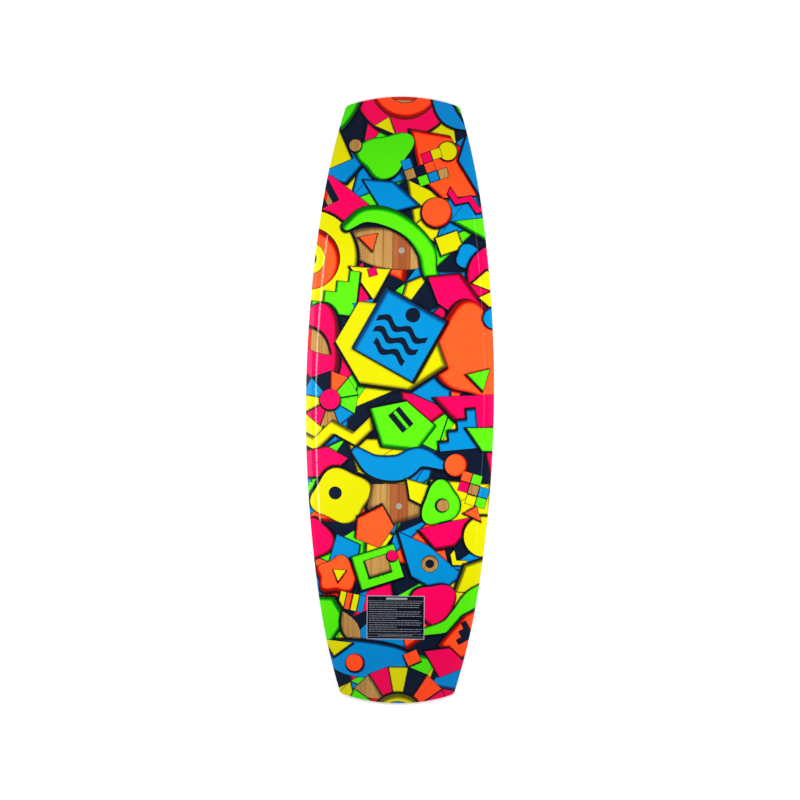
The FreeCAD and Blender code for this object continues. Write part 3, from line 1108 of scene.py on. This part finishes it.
def dashes(x0, x1, y, tall, row):
    """A row of short bars, as long and as far apart as words of small print."""
    bars, x, number = [], x0, row
    while x < x1 - WORD_LEAST:
        number += 1
        word = WORD_SHORTEST + WORD_SPREAD * ((number * GOLDEN_SHARE) % 1.0)
        bars.append((x, y - tall / 2, min(x + word, x1), y + tall / 2))
        x += word + WORD_GAP
    return bars


def label_marks(x0, y0, x1, y1):
    """Plain bars that stand for the label's rules, its heading and its rows of small print."""
    edge, rule = LABEL_BORDER, 0.5
    bars = [(x0 + edge, y - rule / 2, x1 - edge, y + rule / 2) for y in (y1 - 12, y0 + 12, y0 + 6)]
    heading = (x0 + 44, y1 - 8.8, x0 + 92, y1 - 4.6)
    bars.append(heading)
    bars += dashes(x0 + 28, x1 - 28, y0 + 9, 0.8, 3)
    rows, left, right = 14, x0 + 5, x1 - 6
    top, low = y1 - 16.5, y0 + 18
    for row in range(rows):
        y = top + (low - top) * row / (rows - 1)
        last_of_paragraph = row % 4 == 3
        bars += dashes(left, right - (58 if last_of_paragraph else 3 * (row % 3)), y, 0.9, 5 * row)
    return [rectangle(*b) for b in bars]


def build_label():
    (x0, y0, _), (x1, y1, _) = box_mm("care_label")
    outer = rectangle(x0, y0, x1, y1)
    field = rectangle(x0 + LABEL_BORDER, y0 + LABEL_BORDER, x1 - LABEL_BORDER, y1 - LABEL_BORDER)
    marks = label_marks(x0, y0, x1, y1)
    verts, faces, centre = cut_flat(outer, [field, *marks], grid_points(outer, 4.0))
    printed = ~inside(field, centre)
    for mark in marks:
        printed |= inside(mark, centre)
    film = lifted_piece("label_film", verts, faces[~printed], None, LABEL_FILM, 0.0)
    marks = lifted_piece("label_print", verts, faces[printed], None, LABEL_FILM, 0.0)
    return film, marks


# ---- Studio ----


LIGHT_Y = 0.1  # every light stands a little towards the nose


def side_light(name, x, z, aim_x, long, wide, power, mirrored=False):
    """A soft rectangle beside the board, long side along it, turned to face aim_x.

    A mirrored one shows only in the gloss, and any other only lights the colours.
    """
    data = bpy.data.lights.new(name, "AREA")
    data.shape, data.size, data.size_y = "RECTANGLE", wide, long
    data.energy = power
    obj = bpy.data.objects.new(name, data)
    obj.location = (x, LIGHT_Y, z)
    obj.rotation_euler = (0, math.atan2(x - aim_x, z), 0)
    obj.visible_glossy, obj.visible_diffuse = mirrored, not mirrored
    bpy.context.scene.collection.objects.link(obj)


SKY = ((0.0, 1.05), (0.5, 0.85), (0.82, 0.4), (0.955, 0.03))
SKY_POWER = 0.72


def sky():
    """A plain sky, bright low down and dark overhead, where the gloss would mirror it."""
    world = bpy.data.worlds.new("studio")
    bpy.context.scene.world = world
    world.use_nodes = True
    tree = world.node_tree
    where = tree.nodes.new("ShaderNodeTexCoord")
    split = tree.nodes.new("ShaderNodeSeparateXYZ")
    ramp = tree.nodes.new("ShaderNodeValToRGB")
    tree.links.new(where.outputs["Generated"], split.inputs[0])
    tree.links.new(split.outputs["Z"], ramp.inputs["Fac"])
    set_ramp(ramp, [(place, (level, level, level, 1)) for place, level in SKY])
    tree.links.new(ramp.outputs["Color"], tree.nodes["Background"].inputs["Color"])
    tree.nodes["Background"].inputs["Strength"].default_value = SKY_POWER


def floor():
    """A pale paper floor, lit a little from below as on a light table."""
    reach = 12.0
    mesh = bpy.data.meshes.new("floor")
    corners = [(-reach, -reach, 0), (reach, -reach, 0), (reach, reach, 0), (-reach, reach, 0)]
    mesh.from_pydata(corners, [], [(0, 1, 2, 3)])
    paper = bpy.data.objects.new("floor", mesh)
    bpy.context.scene.collection.objects.link(paper)
    g = Graph("floor_paper")
    grain = g.noise(3, 3, 3, detail=2.0)
    g.finish(
        Base_Color=g.mix(grain, (0.88, 0.88, 0.88, 1), (0.92, 0.92, 0.92, 1)),
        Roughness=0.8,
        Specular_IOR_Level=0.1,
        Emission_Color=(1, 1, 1, 1),
        Emission_Strength=0.4,
    )
    mesh.materials.append(g.material)


def studio():
    """Soft light from both sides, and two thin strips that draw a line down each rail."""
    sky()
    floor()
    for side in (-1, 1):
        name = "left_softbox" if side < 0 else "right_softbox"
        side_light(name, x=side * 1.55, z=1.2, aim_x=0.0, long=1.2, wide=0.7, power=28)
    side_light("left_panel", x=-0.98, z=1.5, aim_x=-0.2, long=1.1, wide=0.34, power=1.3, mirrored=True)
    side_light("left_strip", x=-0.35, z=1.5, aim_x=-0.19, long=1.15, wide=0.2, power=6.0, mirrored=True)
    side_light("right_strip", x=0.37, z=1.5, aim_x=0.19, long=1.4, wide=0.09, power=0.7, mirrored=True)


# The camera sees FRAME_WIDTH metres at the height of the board's top.
FRAME_WIDTH = 1.829
LENS, SENSOR = 500.0, 36.0
CAMERA_TURN = math.radians(-0.58)


def camera():
    """A long lens straight above the board, turned a little."""
    data = bpy.data.cameras.new("camera")
    data.lens, data.sensor_width = LENS, SENSOR
    data.clip_end = 100
    obj = bpy.data.objects.new("camera", data)
    top = CAD_BOX[1][2]
    obj.location = (0, 0, top + FRAME_WIDTH * LENS / SENSOR)
    obj.rotation_euler = (0, 0, -CAMERA_TURN)
    bpy.context.scene.collection.objects.link(obj)
    bpy.context.scene.camera = obj


# ---- Assembly ----


def dress(obj, material):
    """Gives an object one material in place of any it had."""
    obj.data.materials.clear()
    obj.data.materials.append(material)


def dress_cad():
    """Gives every CAD node that stays in view its material."""
    woods = {kind: core_material(kind) for kind in WOODS}
    laminate, wall, steel = laminate_material(), sidewall_material(), insert_material()
    plug, deck = plug_material(), deck_material()
    for name, obj in NODES.items():
        if name == "core_center_stringer":
            dress(obj, woods["red"])
        elif name.startswith("core_"):
            odd = name[-1] in "13579" or "center" in name
            dress(obj, woods["light" if odd else "dark"])
        elif name.endswith("laminate"):
            dress(obj, laminate)
        elif name.startswith("sidewall"):
            dress(obj, wall)
        elif name.endswith("inserts"):
            dress(obj, steel)
        elif name.endswith("plug"):
            dress(obj, plug)
        elif name == "deck_sheet":
            dress(obj, deck)


def dress_base():
    special = {
        "line": line_material(),
        "wood": window_material(),
        "rim": rim_material(),
        "plug": plug_window_material(),
    }
    for ink, piece in print_base().items():
        dress(piece, special[ink] if ink in special else ink_material(ink))
        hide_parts("base_sheet")
        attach(piece, "root")


def dress_label():
    film, marks = build_label()
    dress(film, label_material("label_navy", srgb(5, 11, 27), srgb(10, 17, 34)))
    dress(marks, label_material("label_grey", srgb(142, 147, 156), srgb(172, 176, 184)))
    for piece in (film, marks):
        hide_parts("care_label")
        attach(piece, "root")


bpy.context.scene.view_settings.view_transform = "Standard"
camera()
studio()
dress_cad()
dress_base()
dress_label()
